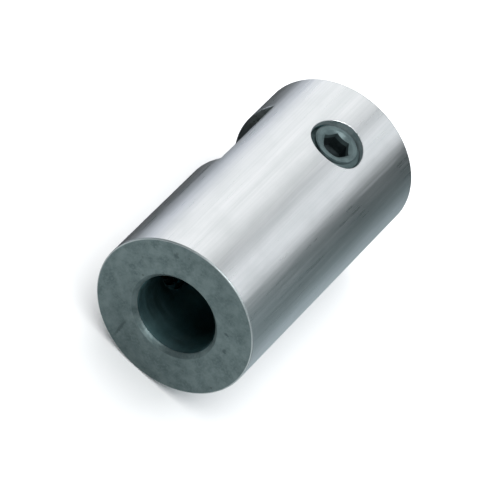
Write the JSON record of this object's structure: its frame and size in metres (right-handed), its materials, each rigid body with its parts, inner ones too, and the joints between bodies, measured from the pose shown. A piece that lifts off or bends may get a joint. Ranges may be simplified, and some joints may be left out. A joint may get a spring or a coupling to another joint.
{
  "type": "rigid shaft coupling",
  "caption": "One-piece round sleeve that joins two shafts end to end, held by a recessed hex-socket set screw on each shaft, with a milled flat on its side.",
  "frame": {"origin": "on the bore's axis, halfway along the sleeve, which is the centre of its box", "axes": "+Y along the bore from the plain end to the end near the upper set screw, +Z along that set screw's axis and out of its socket, -X out of the milled flat"},
  "size_m": [0.016, 0.03, 0.016],
  "materials": {
    "sleeve_steel": "ground and tumbled bare steel",
    "screw_steel": "black oxide, lightly oiled",
    "tip_brass": "turned"
  },
  "bodies": {
    "sleeve": {"sleeve": "sleeve_steel"},
    "far_tip": {"far_screw_tip": "tip_brass"},
    "far_screw": {"far_set_screw": "screw_steel"},
    "near_tip": {"near_screw_tip": "tip_brass"},
    "near_screw": {"near_set_screw": "screw_steel"}
  },
  "joints": [
    {"name": "far_tip_slide", "type": "slide", "parent": "sleeve", "child": "far_tip", "axis": [0, 0, 1], "range_m": [-0.0002, 0.0024]},
    {"name": "far_screw_turn", "type": "hinge", "parent": "far_tip", "child": "far_screw", "pos_m": [0, 0.0078, 0.006], "axis": [0, 0, 1], "range_deg": [-90, 1080]},
    {"name": "near_tip_slide", "type": "slide", "parent": "sleeve", "child": "near_tip", "axis": [-0.866, 0, -0.5], "range_m": [-0.0002, 0.0024]},
    {"name": "near_screw_turn", "type": "hinge", "parent": "near_tip", "child": "near_screw", "pos_m": [-0.0052, -0.0078, -0.003], "axis": [-0.866, 0, -0.5], "range_deg": [-90, 1080]}
  ],
  "couplings": [
    {"joint": "far_screw_turn", "follows": "far_tip_slide", "rad_per_m": 7854},
    {"joint": "near_screw_turn", "follows": "near_tip_slide", "rad_per_m": 7854}
  ]
}
